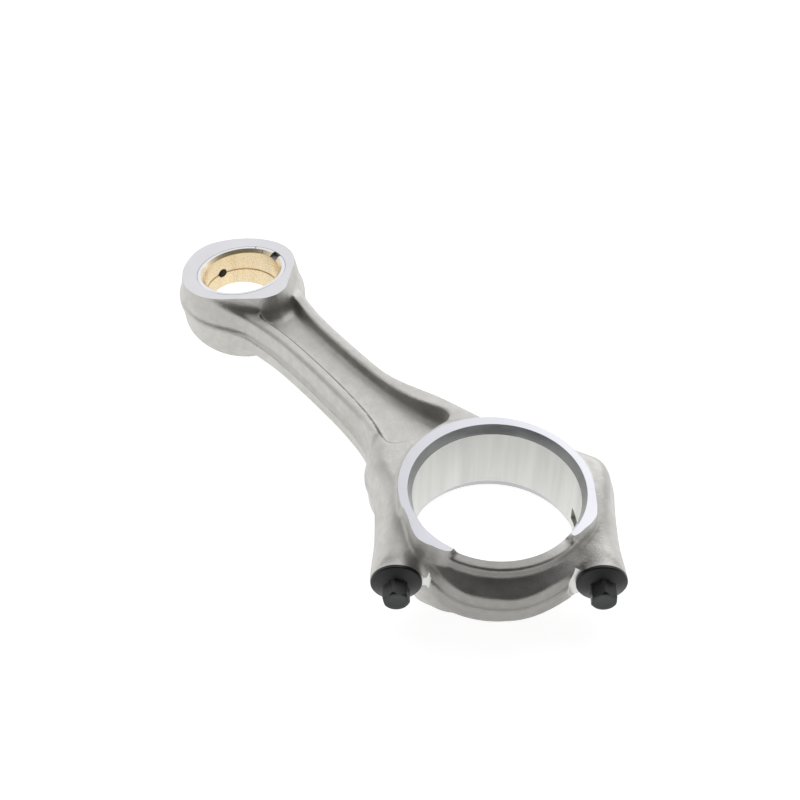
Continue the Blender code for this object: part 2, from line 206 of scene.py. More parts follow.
def forging(x, y, z, upper):
    """Field of one half of the forging before machining; z is measured from its own mid-plane.

    Only the upper half has the low ledge at the crown; below, the thrust pad runs right round.
    """
    X, Y = np.meshgrid(x, y, indexing="ij")
    Z = z[None, None, :]
    bolt_z = Z - MID_DROP if upper else Z + MID_DROP
    U = X * PULL.x + Y * PULL.y
    V = X * SIDE.x + Y * SIDE.y

    def plate(d2, draft, half, edge):
        side = d2[:, :, None] + (draft[:, :, None] if np.ndim(draft) else draft) * Z
        top = Z - (half[:, :, None] if np.ndim(half) else half)
        return smooth_max(side, top, edge)

    # shank
    near = along_table(X, SHANK, 1)
    far = along_table(X, SHANK, 2)
    high = along_table(X, SHANK, 3)
    draft = math.tan(math.radians(7))
    if not upper:
        near = near + LOWER_SHANK_GROWTH
    side = smooth_max(Y - far, -Y - near, 2.0) * 0.96 - high * draft
    side = smooth_max(side, np.maximum(X + 20, -X - 188), 2.0)
    shank = plate(side, draft, high, 2.0)

    # big end
    outline = from_split(np.vstack([curve_through(NEAR_SIDE, False),
                                    curve_through(CROWN_INSIDE, False)[::-1],
                                    curve_through(FAR_SIDE, False)]))
    body_draft = np.where(V < 0, along_table(U, FAR_DRAFT, 1), 0.10)
    body = plate(signed_distance(X, Y, outline), body_draft, along_table(U, BODY_TOP, 1), 7.0)
    solid = smooth_min(shank, body, 5.0)
    for sign in (1, -1):
        radial = np.sqrt((V - sign * BOLT_OFFSET)[:, :, None] ** 2 + bolt_z ** 2)
        grow = along_table(U, BOSS, 1)
        boss = smooth_max(radial - grow[:, :, None], (np.abs(U - 4) - 33)[:, :, None], 2.0)
        solid = smooth_min(solid, boss, 4.0)

    # crown of the cap
    radius = np.hypot(X, Y)
    rib_top = np.minimum(10.2 - 0.62 * (radius - 45.0), 11.5)
    rib = plate(signed_distance(X, Y, from_split(curve_through(RIB))), 0.05, rib_top, 1.2)
    ledge = plate(np.maximum(radius - LEDGE_R, 8 - U), 0.05, LEDGE + MID_DROP, 1.2)
    solid = smooth_min(solid, smooth_min(rib, ledge, 2.6), 3.0)

    # recess
    edge = curve_through(RECESS, False)
    mouth = np.vstack([edge, (edge * (1, -1))[::-1]])
    pocket = signed_distance(X, Y, mouth)[:, :, None]
    flange = high[:, :, None]
    pocket = smooth_max(pocket + 0.20 * (flange - Z), 5.4 - Z, 2.8)
    solid = smooth_max(solid, -pocket, 0.9)

    # machined pads stand a little proud of the skin
    arc = np.radians(np.arange(74, 273, 6))
    back = np.maximum(np.cos(arc - PAD_WIDEST), 0)
    ring_r = (PAD_R + PAD_GROWTH * back ** 2)[:, None]
    ring = ring_r * np.stack([np.cos(arc), np.sin(arc)], 1)
    pad_edge = from_split(np.vstack([curve_through(PAD_NEAR, False), ring,
                                     curve_through(PAD_FAR, False), [(0, 0)]]))
    pad_distance = signed_distance(X, Y, pad_edge)
    if not upper:
        pad_distance = smooth_min(pad_distance, radius - LOWER_PAD_R, 3.0)
    pad = plate(pad_distance, 0.10, RAW_HEIGHT, 0.6)
    solid = smooth_min(solid, pad, 1.4)

    # small-end eye
    ex = X - EYE_X
    angle = np.degrees(np.arctan2(np.abs(Y), -ex))
    face_r = along_table(angle, EYE_OUTLINE, 1)
    mid_r = along_table(angle, EYE_OUTLINE, 2)
    if not upper:
        face_r = np.maximum(face_r, LOWER_EYE_R)
    eye_draft = (mid_r - face_r) / (EYE_TOP + MID_DROP)
    eye = plate(np.hypot(ex, Y) - mid_r, eye_draft, RAW_HEIGHT, 0.6)
    solid = smooth_min(solid, eye, 5.5)

    # trimmed flash line at the mid-plane
    return solid - FLASH_HEIGHT * np.exp(-(Z / FLASH_HALF_WIDTH) ** 8)


# ------------------------------------------------------------------ meshing

def surface_nets(field, origin, step):
    """Quads on the zero surface of a sampled field, relaxed and drawn onto it."""
    inside = field < 0
    nx, ny, nz = field.shape
    mixed = np.zeros((nx - 1, ny - 1, nz - 1), np.int8)
    for i in (0, 1):
        for j in (0, 1):
            for k in (0, 1):
                mixed += inside[i:nx - 1 + i, j:ny - 1 + j, k:nz - 1 + k]
    cells = np.argwhere((mixed > 0) & (mixed < 8))
    index = np.full(mixed.shape, -1, np.int32)
    index[tuple(cells.T)] = np.arange(len(cells))
    total = np.zeros((len(cells), 3))
    count = np.zeros(len(cells))
    corners = [(i, j, k) for i in (0, 1) for j in (0, 1) for k in (0, 1)]
    for a in corners:
        for axis in range(3):
            if a[axis]:
                continue
            b = list(a)
            b[axis] = 1
            fa = field[tuple((cells + a).T)]
            fb = field[tuple((cells + b).T)]
            cross = (fa < 0) != (fb < 0)
            t = np.where(cross, fa / np.where(cross, fa - fb, 1), 0)
            point = np.array(a, float) + t[:, None] * (np.array(b) - np.array(a))
            total += point * cross[:, None]
            count += cross
    verts = cells + total / count[:, None]

    quads = []
    for axis in range(3):
        o1, o2 = [(1, 2), (2, 0), (0, 1)][axis]
        lo = [slice(None)] * 3
        hi = [slice(None)] * 3
        lo[axis] = slice(0, -1)
        hi[axis] = slice(1, None)
        change = inside[tuple(lo)] != inside[tuple(hi)]
        edges = np.argwhere(change)
        edges = edges[(edges[:, o1] > 0) & (edges[:, o2] > 0)]
        d1 = np.zeros(3, int)
        d1[o1] = 1
        d2 = np.zeros(3, int)
        d2[o2] = 1
        quad = np.stack([index[tuple((edges - d1 - d2).T)], index[tuple((edges - d2).T)],
                         index[tuple(edges.T)], index[tuple((edges - d1).T)]], 1)
        flip = ~inside[tuple(edges.T)]
        quad[flip] = quad[flip][:, ::-1]
        quads.append(quad)
    quads = np.vstack(quads)

    def sample(points):
        cell = np.clip(np.floor(points).astype(int), 0, np.array(field.shape) - 2)
        f = points - cell
        value = np.zeros(len(points))
        slope = np.zeros((len(points), 3))
        for c in corners:
            w = np.where(c, f, 1 - f)
            corner = field[tuple((cell + c).T)]
            value += corner * w.prod(1)
            for axis in range(3):
                others = [a for a in range(3) if a != axis]
                slope[:, axis] += corner * (1 if c[axis] else -1) * w[:, others].prod(1)
        return value, slope

    ring = np.concatenate([quads[:, [i, (i + 1) % 4]] for i in range(4)])
    ring = np.concatenate([ring, ring[:, ::-1]])
    degree = np.bincount(ring[:, 0], minlength=len(verts))
    for _ in range(4):
        mean = np.stack([np.bincount(ring[:, 0], verts[ring[:, 1], axis], len(verts))
                         for axis in range(3)], 1) / degree[:, None]
        verts = 0.5 * verts + 0.5 * mean
        for _ in range(2):
            value, slope = sample(verts)
            verts -= slope * (value / np.maximum((slope ** 2).sum(1), 1e-6))[:, None]
    return verts * step + origin, quads


def mesh_object(name, verts, faces):
    """Object from rod-frame millimetres."""
    mesh = bpy.data.meshes.new(name)
    points = np.asarray(verts, float) * MM + np.array(CENTRE)
    if isinstance(faces, np.ndarray):
        mesh.vertices.add(len(points))
        mesh.vertices.foreach_set("co", points.ravel())
        count, sides = faces.shape
        mesh.loops.add(count * sides)
        mesh.loops.foreach_set("vertex_index", faces.ravel().astype(np.int32))
        mesh.polygons.add(count)
        mesh.polygons.foreach_set("loop_start", np.arange(0, count * sides, sides))
        mesh.polygons.foreach_set("loop_total", np.full(count, sides))
        mesh.update(calc_edges=True)
        mesh.validate()
    else:
        mesh.from_pydata(points.tolist(), [], faces)
    obj = bpy.data.objects.new(name, mesh)
    bpy.context.collection.objects.link(obj)
    return obj


def lathe(name, profile, origin=(0, 0, 0), axis=(0, 0, 1), segments=192):
    """Turned solid; profile rows are (distance along the axis, radius) in millimetres."""
    axis = Vector(axis).normalized()
    across = axis.orthogonal().normalized()
    other = axis.cross(across)
    verts = []
    faces = []
    for along, radius in profile:
        for i in range(segments):
            a = math.tau * i / segments
            verts.append(Vector(origin) + axis * along
                         + (across * math.cos(a) + other * math.sin(a)) * radius)
    for row in range(len(profile) - 1):
        for i in range(segments):
            j = (i + 1) % segments
            faces.append((row * segments + i, row * segments + j, (row + 1) * segments + j,
                          (row + 1) * segments + i))
    faces.append(tuple(reversed(range(segments))))
    faces.append(tuple(range((len(profile) - 1) * segments, len(profile) * segments)))
    return mesh_object(name, verts, faces)


def box_cutter(name, lo, hi, turn=None):
    """Box between two corners, in an optional frame given as a 3x3 matrix."""
    corners = [Vector((x, y, z)) for x in (lo[0], hi[0]) for y in (lo[1], hi[1])
               for z in (lo[2], hi[2])]
    if turn:
        corners = [turn @ corner for corner in corners]
    faces = [(0, 1, 3, 2), (4, 6, 7, 5), (0, 4, 5, 1), (2, 3, 7, 6), (0, 2, 6, 4), (1, 5, 7, 3)]
    if turn and turn.determinant() < 0:
        faces = [tuple(reversed(face)) for face in faces]
    return mesh_object(name, corners, faces)


def boolean(target, tool, operation='DIFFERENCE', keep_tool=False):
    modifier = target.modifiers.new("cut", 'BOOLEAN')
    modifier.operation = operation
    modifier.solver = 'MANIFOLD'
    modifier.object = tool
    bpy.context.view_layer.update()
    evaluated = target.evaluated_get(bpy.context.evaluated_depsgraph_get())
    mesh = bpy.data.meshes.new_from_object(evaluated)
    target.modifiers.clear()
    old = target.data
    target.data = mesh
    bpy.data.meshes.remove(old)
    if not keep_tool:
        bpy.data.objects.remove(tool)
    return target


# ------------------------------------------------------------------ materials

CROWN_TONE = 0.60                  # the skin's colour is multiplied by these; the second is painted shade for the recess corner
RECESS_SHADE_TONE = 0.36
TOOL_PITCH = 0.0004                # turned faces: spacing and depth of the marks, in metres
TOOL_DEPTH = 0.00003
BAND_SQUASH = 0.075                # bore walls: how far the bands are drawn out along Z


class Shade:
    """Small wrapper that builds one node material."""

    def __init__(self, name, roughness, metallic):
        self.mat = bpy.data.materials.new(name)
        self.mat.use_nodes = True
        self.tree = self.mat.node_tree
        self.shader = self.tree.nodes["Principled BSDF"]
        self.shader.inputs["Roughness"].default_value = roughness
        self.shader.inputs["Metallic"].default_value = metallic
        self.place = self.tree.nodes.new("ShaderNodeTexCoord").outputs["Object"]
        self.height = None

    def node(self, kind, **inputs):
        node = self.tree.nodes.new(kind)
        for key, value in inputs.items():
            socket = node.inputs[key.replace("_", " ")]
            if isinstance(value, bpy.types.NodeSocket):
                self.tree.links.new(value, socket)
            else:
                socket.default_value = value
        return node

    def noise(self, scale, detail=4.0, rough=0.55, vector=None):
        node = self.node("ShaderNodeTexNoise", Vector=vector or self.place, Scale=scale,
                         Detail=detail, Roughness=rough)
        return node.outputs["Fac"]

    def cells(self, scale):
        node = self.node("ShaderNodeTexVoronoi", Vector=self.place, Scale=scale)
        return node.outputs["Distance"]

    def math(self, operation, a, b=0.0):
        node = self.tree.nodes.new("ShaderNodeMath")
        node.operation = operation
        for socket, value in zip(node.inputs, (a, b)):
            if isinstance(value, bpy.types.NodeSocket):
                self.tree.links.new(value, socket)
            else:
                socket.default_value = value
        return node.outputs[0]

    def remap(self, value, lo, hi, to_lo, to_hi):
        node = self.node("ShaderNodeMapRange", Value=value, From_Min=lo, From_Max=hi,
                         To_Min=to_lo, To_Max=to_hi)
        return node.outputs["Result"]

    def ramp(self, value, *stops):
        node = self.tree.nodes.new("ShaderNodeValToRGB")
        self.tree.links.new(value, node.inputs["Fac"])
        points = node.color_ramp.elements
        while len(points) < len(stops):
            points.new(0.5)
        for point, (at, colour) in zip(points, stops):
            point.position = at
            point.color = (*colour, 1)
        return node.outputs["Color"]

    def blend(self, fac, a, b):
        node = self.tree.nodes.new("ShaderNodeMix")
        node.data_type = 'RGBA'
        for socket, value in zip((node.inputs["Factor"], node.inputs[6], node.inputs[7]),
                                 (fac, a, b)):
            if isinstance(value, bpy.types.NodeSocket):
                self.tree.links.new(value, socket)
            else:
                socket.default_value = value if isinstance(value, float) else (*value, 1)
        return node.outputs[2]

    def bump(self, height, distance, strength):
        node = self.node("ShaderNodeBump", Height=height, Distance=distance, Strength=strength)
        if self.height:
            self.tree.links.new(self.height, node.inputs["Normal"])
        self.height = node.outputs["Normal"]
        self.tree.links.new(self.height, self.shader.inputs["Normal"])

    def link(self, socket, value):
        self.tree.links.new(value, self.shader.inputs[socket])

    def from_centre(self, centre):
        """Position measured from a bore's centre."""
        node = self.tree.nodes.new("ShaderNodeVectorMath")
        node.operation = 'SUBTRACT'
        self.tree.links.new(self.place, node.inputs[0])
        node.inputs[1].default_value = centre
        return node.outputs[0]

    def towards_crown(self):
        """0 on the rod, 1 at the crown of the cap, where the scale is darker."""
        unit = self.tree.nodes.new("ShaderNodeVectorMath")
        unit.operation = 'NORMALIZE'
        self.tree.links.new(self.from_centre(tuple(CENTRE)), unit.inputs[0])
        along = self.tree.nodes.new("ShaderNodeVectorMath")
        along.operation = 'DOT_PRODUCT'
        self.tree.links.new(unit.outputs[0], along.inputs[0])
        along.inputs[1].default_value = PULL
        return self.remap(along.outputs["Value"], 0.62, 0.84, 0.0, 1.0)

    def recess_painted_shade(self):
        """Painted shade: 1 in the sharp inner corner along the near side of the shank's recess."""
        split = self.node("ShaderNodeSeparateXYZ", Vector=self.from_centre(tuple(CENTRE)))
        x, y = split.outputs[0], split.outputs[1]
        geometry = self.tree.nodes.new("ShaderNodeNewGeometry")
        tilt = self.node("ShaderNodeSeparateXYZ", Vector=geometry.outputs["Normal"])
        faces_far = self.remap(tilt.outputs[1], 0.10, 0.42, 0.0, 1.0)
        near_half = self.remap(y, -0.004, -0.002, 1.0, 0.0)
        past_eye = self.remap(x, -0.174, -0.168, 0.0, 1.0)
        before_ring = self.remap(x, -0.052, -0.046, 1.0, 0.0)
        along = self.math('MULTIPLY', past_eye, before_ring)
        return self.math('MULTIPLY', self.math('MULTIPLY', faces_far, near_half), along)

    def rings(self, centre, pitch):
        """Fine concentric tool marks round a bore, as a 0..1 value."""
        split = self.node("ShaderNodeSeparateXYZ", Vector=self.from_centre(centre))
        x, y = split.outputs[0], split.outputs[1]
        radius = self.math('SQRT', self.math('ADD', self.math('MULTIPLY', x, x),
                                             self.math('MULTIPLY', y, y)))
        join = self.node("ShaderNodeCombineXYZ", X=radius)
        return self.noise(1 / pitch, 3.0, 0.6, join.outputs[0])

    def streaks(self, centre, scale, squash):
        """Noise drawn out along Z, for bore walls and drawn surfaces."""
        node = self.tree.nodes.new("ShaderNodeVectorMath")
        node.operation = 'MULTIPLY'
        self.tree.links.new(self.from_centre(centre), node.inputs[0])
        node.inputs[1].default_value = (1, 1, squash)
        return self.noise(scale, 4.0, 0.55, node.outputs[0])


def forged_skin(name, dark, light):
    """Shot-blasted forging: fine pits, soft mottling, worn high spots and painted shade in the
    recess's near corner.
    """
    s = Shade(name, 0.5, 0.85)
    mottle = s.noise(38, 5.0, 0.6)
    fine = s.noise(1500, 3.0, 0.6)
    pits = s.cells(1150)
    mid = s.noise(260, 3.0, 0.55)
    tone = s.math('ADD', s.math('MULTIPLY', mottle, 0.7), s.math('MULTIPLY', mid, 0.3))
    # clean skin, darker crown, and skin darkened as painted shade for the recess corner
    clean, dull, corner = [s.ramp(tone, (0.36, tuple(c * by for c in dark)),
                                  (0.64, tuple(c * by for c in light)))
                           for by in (1.0, CROWN_TONE, RECESS_SHADE_TONE)]
    skin = s.blend(s.towards_crown(), clean, dull)
    s.link("Base Color", s.blend(s.recess_painted_shade(), skin, corner))
    s.link("Roughness", s.remap(mottle, 0.3, 0.7, 0.40, 0.56))
    s.bump(s.math('ADD', fine, s.math('MULTIPLY', pits, 0.8)), 0.00012, 0.55)
    s.bump(mid, 0.0004, 0.25)
    return s.mat


def turned_face(name, centre, base, roughness, metallic=0.95):
    """Ground or turned face with concentric marks."""
    s = Shade(name, roughness, metallic)
    marks = s.rings(tuple(centre), TOOL_PITCH)
    cloud = s.noise(70, 3.0, 0.5)
    darker = tuple(c * 0.86 for c in base)
    tone = s.math('ADD', s.math('MULTIPLY', marks, 0.6), s.math('MULTIPLY', cloud, 0.4))
    s.link("Base Color", s.ramp(tone, (0.3, darker), (0.7, base)))
    s.link("Roughness", s.remap(tone, 0.3, 0.7, roughness * 0.8, roughness * 1.25))
    s.bump(marks, TOOL_DEPTH, 0.6)
    return s.mat


def honed_wall(name, centre, base, roughness, metallic=0.2):
    """Bore wall with soft vertical banding and fine honing."""
    s = Shade(name, roughness, metallic)
    bands = s.streaks(tuple(centre), 120, BAND_SQUASH)
    hone = s.streaks(tuple(centre), 2400, 2.5)
    darker = tuple(c * 0.85 for c in base)
    s.link("Base Color", s.ramp(bands, (0.35, darker), (0.65, base)))
    s.link("Roughness", s.remap(hone, 0.3, 0.7, roughness * 0.8, roughness * 1.2))
    s.bump(hone, 0.00003, 0.5)
    return s.mat


def black_finish(name, base, roughness, metallic=0.55):
    """Phosphated and oiled bolt finish."""
    s = Shade(name, roughness, metallic)
    speck = s.noise(900, 4.0, 0.6)
    cloud = s.noise(140, 3.0, 0.55)
    lighter = tuple(c * 1.7 + 0.004 for c in base)
    s.link("Base Color", s.ramp(s.math('ADD', s.math('MULTIPLY', speck, 0.5),
                                       s.math('MULTIPLY', cloud, 0.5)),
                                (0.35, base), (0.68, lighter)))
    s.link("Roughness", s.remap(speck, 0.3, 0.7, roughness * 0.85, roughness * 1.25))
    s.bump(speck, 0.00004, 0.5)
    return s.mat


def fracture_face(name):
    """Grainy face where rod and cap part."""
    s = Shade(name, 0.55, 0.8)
    grain = s.noise(1300, 5.0, 0.65)
    coarse = s.noise(260, 4.0, 0.6)
    s.link("Base Color", s.ramp(s.math('ADD', s.math('MULTIPLY', grain, 0.6),
                                       s.math('MULTIPLY', coarse, 0.4)),
                                (0.3, (0.22, 0.22, 0.22)), (0.7, (0.46, 0.46, 0.45))))
    s.bump(grain, 0.0002, 0.8)
    return s.mat


SKIN_TONES = (0.52, 0.51, 0.48), (0.69, 0.68, 0.65)
SKIN = forged_skin("forged_skin", *SKIN_TONES)
CAP_SKIN = forged_skin("cap_forged_skin", *SKIN_TONES)
THRUST = turned_face("thrust_face", CENTRE, (0.57, 0.57, 0.605), 0.34)
CHAMFER = turned_face("bore_chamfer", CENTRE, (0.44, 0.45, 0.46), 0.20)
BORE = honed_wall("big_end_bore", CENTRE, (0.95, 0.95, 0.92), 0.42, 0.3)
EYE_FACE = turned_face("small_end_face", EYE, (0.74, 0.74, 0.755), 0.32)
EYE_BORE = honed_wall("eye_bore", EYE, (0.5, 0.5, 0.5), 0.4)
SPOT = turned_face("spot_face", CENTRE, (0.95, 0.95, 0.92), 0.40, 0.7)
DRILLED = turned_face("drilled_hole", CENTRE, (0.34, 0.34, 0.32), 0.5, 0.3)
FRACTURE = fracture_face("parting_face")
BOLT_SKIN = black_finish("bolt_black", (0.014, 0.014, 0.015), 0.34, 0.4)
BOLT_END = black_finish("bolt_end_face", (0.030, 0.035, 0.032), 0.55, 0.1)
BRONZE = honed_wall("bush_bronze", EYE, (1.0, 0.86, 0.60), 0.28, 0.55)
BUSH_STEEL = turned_face("bush_steel_ring", EYE, (0.80, 0.81, 0.84), 0.18)


def finish_piece(obj, base, regions, sharp=32):
    """Give each region its material, then break the smooth shading at edges and borders."""
    mesh = obj.data
    mesh.materials.clear()
    mats = [base] + [mat for mat, _ in regions]
    for mat in mats:
        mesh.materials.append(mat)
    count = len(mesh.polygons)
    centre = np.zeros(count * 3)
    normal = np.zeros(count * 3)
    mesh.polygons.foreach_get("center", centre)
    mesh.polygons.foreach_get("normal", normal)
    p = (centre.reshape(-1, 3) - np.array(CENTRE)) / MM
    n = normal.reshape(-1, 3)
    index = np.zeros(count, np.int32)
    for number, (_, test) in enumerate(regions, 1):
        index[test(p, n)] = number
    mesh.polygons.foreach_set("material_index", index)
    mesh.shade_smooth()
    mesh.set_sharp_from_angle(angle=math.radians(sharp))
    starts = np.zeros(count, np.int32)
    totals = np.zeros(count, np.int32)
    mesh.polygons.foreach_get("loop_start", starts)
    mesh.polygons.foreach_get("loop_total", totals)
    edge_of = np.zeros(len(mesh.loops), np.int32)
    mesh.loops.foreach_get("edge_index", edge_of)
    owner = np.repeat(index, totals)
    lowest = np.full(len(mesh.edges), len(mats))
    highest = np.full(len(mesh.edges), -1)
    np.minimum.at(lowest, edge_of, owner)
    np.maximum.at(highest, edge_of, owner)
    flags = np.zeros(len(mesh.edges), bool)
    mesh.attributes["sharp_edge"].data.foreach_get("value", flags)
    flags |= lowest != highest
    mesh.attributes["sharp_edge"].data.foreach_set("value", flags)
    mesh.update()
    return obj


# ------------------------------------------------------------------ rod and cap

def split_coords(p):
    u = p[:, 0] * PULL.x + p[:, 1] * PULL.y
    v = p[:, 0] * SIDE.x + p[:, 1] * SIDE.y
    return u, v


RELIEF_WAVES = 28
RELIEF_HEIGHT = 0.035


def parting_cutter(name, gap, far):
    """Block on one side of the slightly rough parting face."""
    rng = np.random.RandomState(5)
    v = np.arange(-76, 77, 1.0)
    z = np.arange(-30, 31, 1.0)
    V, Z = np.meshgrid(v, z, indexing="ij")
    relief = np.zeros(V.shape)
    for _ in range(RELIEF_WAVES):
        kv, kz = rng.normal(0, 0.35, 2)
        relief += math.cos(rng.uniform(0, 6.28)) * np.sin(kv * V + kz * Z + rng.uniform(0, 6.28))
    relief *= RELIEF_HEIGHT
    count = V.size
    verts = [Vector(PULL) * (r + gap) + Vector(SIDE) * a + Vector((0, 0, b))
             for r, a, b in zip(relief.ravel(), V.ravel(), Z.ravel())]
    base = [Vector(PULL) * far + Vector(SIDE) * a + Vector((0, 0, b))
            for a, b in zip(V.ravel(), Z.ravel())]
    nv, nz = V.shape
    faces = []
    for i in range(nv - 1):
        for j in range(nz - 1):
            a = i * nz + j
            quad = (a, a + nz, a + nz + 1, a + 1)
            faces.append(quad)
            faces.append(tuple(count + k for k in reversed(quad)))
    rim = ([i * nz for i in range(nv)] + [(nv - 1) * nz + j for j in range(1, nz)]
           + [i * nz + nz - 1 for i in range(nv - 2, -1, -1)] + list(range(nz - 2, 0, -1)))
    for a, b in zip(rim, rim[1:] + rim[:1]):
        faces.append((b, a, count + a, count + b))
    if far < 0:
        faces = [tuple(reversed(face)) for face in faces]
    return mesh_object(name, verts + base, faces)


def oil_drill():
    """Cutter for the oil hole through the tip of the small end and its bush."""
    return lathe("oil_hole", [(15, OIL_HOLE_R), (45, OIL_HOLE_R)], (EYE_X, 0, -MID_DROP),
                 (-1, 0, 0), 48)


def machined_blank():
    """Rod and cap in one piece, with faces, bores and oil hole cut."""
    x = np.arange(EYE_X - 40, 70, MESH_STEP)
    y = np.arange(-74, 66, MESH_STEP)
    z = np.arange(0, 24, MESH_STEP) + MESH_STEP / 2
    field = np.concatenate([forging(x, y, z, False)[:, :, ::-1], forging(x, y, z, True)], 2)
    origin = np.array([x[0], y[0], -z[-1] - MID_DROP])
    verts, quads = surface_nets(field, origin, MESH_STEP)
    blank = mesh_object("blank", verts, quads)
    for sign in (1, -1):
        lo, hi = sorted((sign * HALF_WIDTH, sign * 30))
        boolean(blank, box_cutter("thrust", (-70, -70, lo), (70, 70, hi)))
        tilt = Matrix.Rotation(-sign * math.atan(EYE_SLOPE), 3, 'Y')
        face = EYE_TOP if sign > 0 else -EYE_BOTTOM
        lo, hi = sorted((0, sign * 30))
        cutter = box_cutter("taper", (-60, -45, lo), (33, 45, hi), tilt)
        cutter.data.transform(Matrix.Translation(Vector((EYE_X, 0, face)) * MM))
        boolean(blank, cutter)
    over = 3.0                         # the cutter stands this far past each face
    top = HALF_WIDTH + over
    knee = HALF_WIDTH - BIG_MOUTH_DEPTH
    mouth = BIG_MOUTH_R + over * BIG_MOUTH_SLOPE
    boolean(blank, lathe("bore", [(-top, mouth), (-knee, BIG_BORE_R), (knee, BIG_BORE_R),
                                  (top, mouth)], segments=288))
    eye = (EYE_X, 0, 0)
    boolean(blank, lathe("eye_bore", [(-30, BUSH_R + 0.03), (30, BUSH_R + 0.03)], eye))
    boolean(blank, oil_drill())
    return blank


def eye_face_height(p):
    return np.where(p[:, 2] > 0, EYE_TOP, EYE_BOTTOM) + EYE_SLOPE * (p[:, 0] - EYE_X)


def machined_regions():
    """Regions shared by rod and cap."""
    def thrust(p, n):
        return (np.abs(np.abs(p[:, 2]) - HALF_WIDTH) < 0.02) & (np.abs(n[:, 2]) > 0.99)

    def radius(p):
        return np.hypot(p[:, 0], p[:, 1])

    def bore(p, n):
        inward = n[:, 0] * p[:, 0] + n[:, 1] * p[:, 1] < -0.9 * radius(p)
        return (np.abs(radius(p) - BIG_BORE_R) < 0.25) & (np.abs(n[:, 2]) < 0.05) & inward

    def chamfer(p, n):
        past_knee = np.abs(p[:, 2]) - (HALF_WIDTH - BIG_MOUTH_DEPTH)
        on_cone = np.abs(radius(p) - BIG_BORE_R - past_knee * BIG_MOUTH_SLOPE) < 0.3
        tilted = (np.abs(n[:, 2]) > 0.2) & (np.abs(n[:, 2]) < 0.7)
        return on_cone & tilted & (past_knee > -0.1) & (radius(p) < BIG_MOUTH_R + 0.1)

    def parting(p, n):
        u = split_coords(p)[0]
        facing = np.abs(n[:, 0] * PULL.x + n[:, 1] * PULL.y) > 0.8
        return (np.abs(u) < 0.45) & facing
    return [(THRUST, thrust), (BORE, bore), (CHAMFER, chamfer), (FRACTURE, parting)]


def hole_region(radius, reach):
    """Bolt hole walls, and any skin behind a blind hole that lies within its radius."""
    def test(p, n):
        u, v = split_coords(p)
        off = np.hypot(np.abs(v) - BOLT_OFFSET, p[:, 2])
        return (off < radius) & (u > -38) & (u < reach)
    return test


rod = machined_blank()
rod.name = "forged_rod"
cap = bpy.data.objects.new("forged_cap", rod.data.copy())
bpy.context.collection.objects.link(cap)
turn = Matrix((PULL, -SIDE, Vector((0, 0, 1)))).transposed()
boolean(rod, parting_cutter("cap_side", -0.02, 90.0))
boolean(cap, box_cutter("rod_half", (-330, -300, -40), (-4, 300, 40), turn))
boolean(cap, parting_cutter("rod_side", 0.02, -20.0))
for sign in (1, -1):
    start = SIDE * sign * BOLT_OFFSET
    boolean(rod, lathe("tapped", [(-24.6, 0.3), (-23, BOLT_R + 0.2), (6, BOLT_R + 0.2)], start,
                       PULL, 48))
    boolean(cap, lathe("clearance", [(-6, BOLT_R + 0.3), (40, BOLT_R + 0.3)], start, PULL, 48))
    boolean(cap, lathe("seat", [(SEAT, SPOT_R), (SEAT + 30, SPOT_R)], start, PULL, 128))
tang_turn = turn @ Matrix.Rotation(math.radians(8), 3, 'Z')
boolean(rod, box_cutter("tang", (-5.2, 33.0, -11.0), (8.0, 38.0, -4.0), tang_turn))

shared = machined_regions()
finish_piece(rod, SKIN, shared + [
    (DRILLED, hole_region(BOLT_R + 0.3, 10)),
    (EYE_FACE, lambda p, n: (np.abs(np.abs(p[:, 2]) - eye_face_height(p)) < 0.03)
     & (np.abs(n[:, 2]) > 0.97) & (p[:, 0] < -150)),
    (EYE_BORE, lambda p, n: (np.abs(np.hypot(p[:, 0] - EYE_X, p[:, 1]) - BUSH_R) < 0.2)
     & (np.abs(n[:, 2]) < 0.05)),
    (DRILLED, lambda p, n: (p[:, 0] < -218)
     & (np.hypot(p[:, 1], p[:, 2] + MID_DROP) < OIL_HOLE_R + 0.05))])


def spot_region(p, n):
    u, v = split_coords(p)
    off = np.hypot(np.abs(v) - BOLT_OFFSET, p[:, 2])
    facing = n[:, 0] * PULL.x + n[:, 1] * PULL.y > 0.99
    wall = (np.abs(off - SPOT_R) < 0.1) & (u > SEAT - 0.1) & (u < 60)
    return ((np.abs(u - SEAT) < 0.05) & facing) | wall


finish_piece(cap, CAP_SKIN, shared + [(DRILLED, hole_region(BOLT_R + 0.4, SEAT - 0.2)),
                                      (SPOT, spot_region)])


# ------------------------------------------------------------------ bolts

# Plain shank and flange: height above the parting line, radius
BOLT_PROFILE = [(-4, 4.75), (29.5, 4.75), (30.5, 5.4), (33.99, 5.4), (34.0, 5.4), (34.0, 10.5),
                (34.35, 10.9), (35.5, 10.9), (35.9, 10.6), (36.3, 9.7), (37.2, 7.7), (38.3, 5.2),
                (45, 3.0)]

# Rings on the end of the head: part of the hexagon's size, height above its top
HEAD_END = [(0.95, 0.05), (0.70, 0.03), (0.62, -0.08), (0.2, -0.12)]


